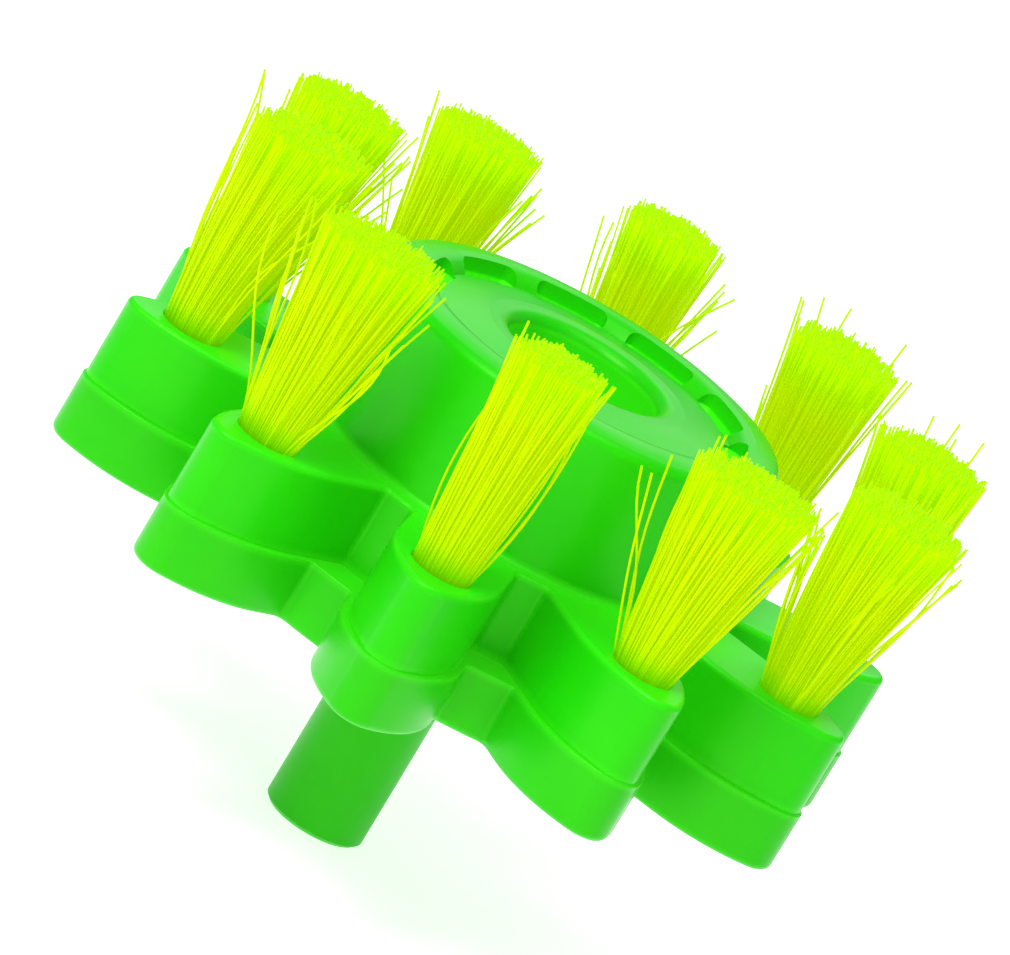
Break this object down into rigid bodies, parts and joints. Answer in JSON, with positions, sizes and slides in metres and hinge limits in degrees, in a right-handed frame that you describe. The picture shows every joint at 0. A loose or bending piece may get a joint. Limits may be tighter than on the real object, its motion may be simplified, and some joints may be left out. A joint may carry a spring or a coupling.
{
  "type": "rotary bath brush head",
  "caption": "Round lobed pet-bath brush head in green plastic with upright yellow bristle tufts, a raised dished hub with a central well, and a hollow plug-in stem it spins on.",
  "frame": {"origin": "centre of the stem's free end", "axes": "+Z along the brush axis from the stem's free end towards the bristle tips, -Y towards the first lobe"},
  "size_m": [0.0764, 0.08, 0.0585],
  "materials": {
    "body_green": "smooth moulded, slightly translucent",
    "cover_green": "smooth moulded, slightly translucent",
    "stem_green": "plain moulded",
    "carrier_green": "plain moulded",
    "rose_green": "smooth moulded",
    "bush_white": "natural acetal",
    "washer_white": "natural acetal",
    "seal_black": "smooth rubber",
    "bristle_yellow": "bright nylon filament",
    "staple_steel": "flat wire",
    "screw_steel": "plain stainless"
  },
  "bodies": {
    "spindle": {"stem": "stem_green"},
    "head": {"brush_body": "body_green", "back_cover": "cover_green", "bearing_bush": "bush_white", "thrust_washer_lower": "washer_white", "thrust_washer_upper": "washer_white", "seal_carrier": "carrier_green", "seal_ring": "seal_black", "spray_plate": "rose_green", "cover_screws": "screw_steel", "tuft_01": "bristle_yellow", "tuft_02": "bristle_yellow", "tuft_03": "bristle_yellow", "tuft_04": "bristle_yellow", "tuft_05": "bristle_yellow", "tuft_06": "bristle_yellow", "tuft_07": "bristle_yellow", "tuft_08": "bristle_yellow", "tuft_09": "bristle_yellow", "tuft_10": "bristle_yellow", "tuft_staple_01": "staple_steel", "tuft_staple_02": "staple_steel", "tuft_staple_03": "staple_steel", "tuft_staple_04": "staple_steel", "tuft_staple_05": "staple_steel", "tuft_staple_06": "staple_steel", "tuft_staple_07": "staple_steel", "tuft_staple_08": "staple_steel", "tuft_staple_09": "staple_steel", "tuft_staple_10": "staple_steel"}
  },
  "joints": [
    {"name": "head_spin", "type": "hinge", "parent": "spindle", "child": "head", "pos_m": [0, 0, 0.026], "axis": [0, 0, 1], "continuous": true}
  ]
}
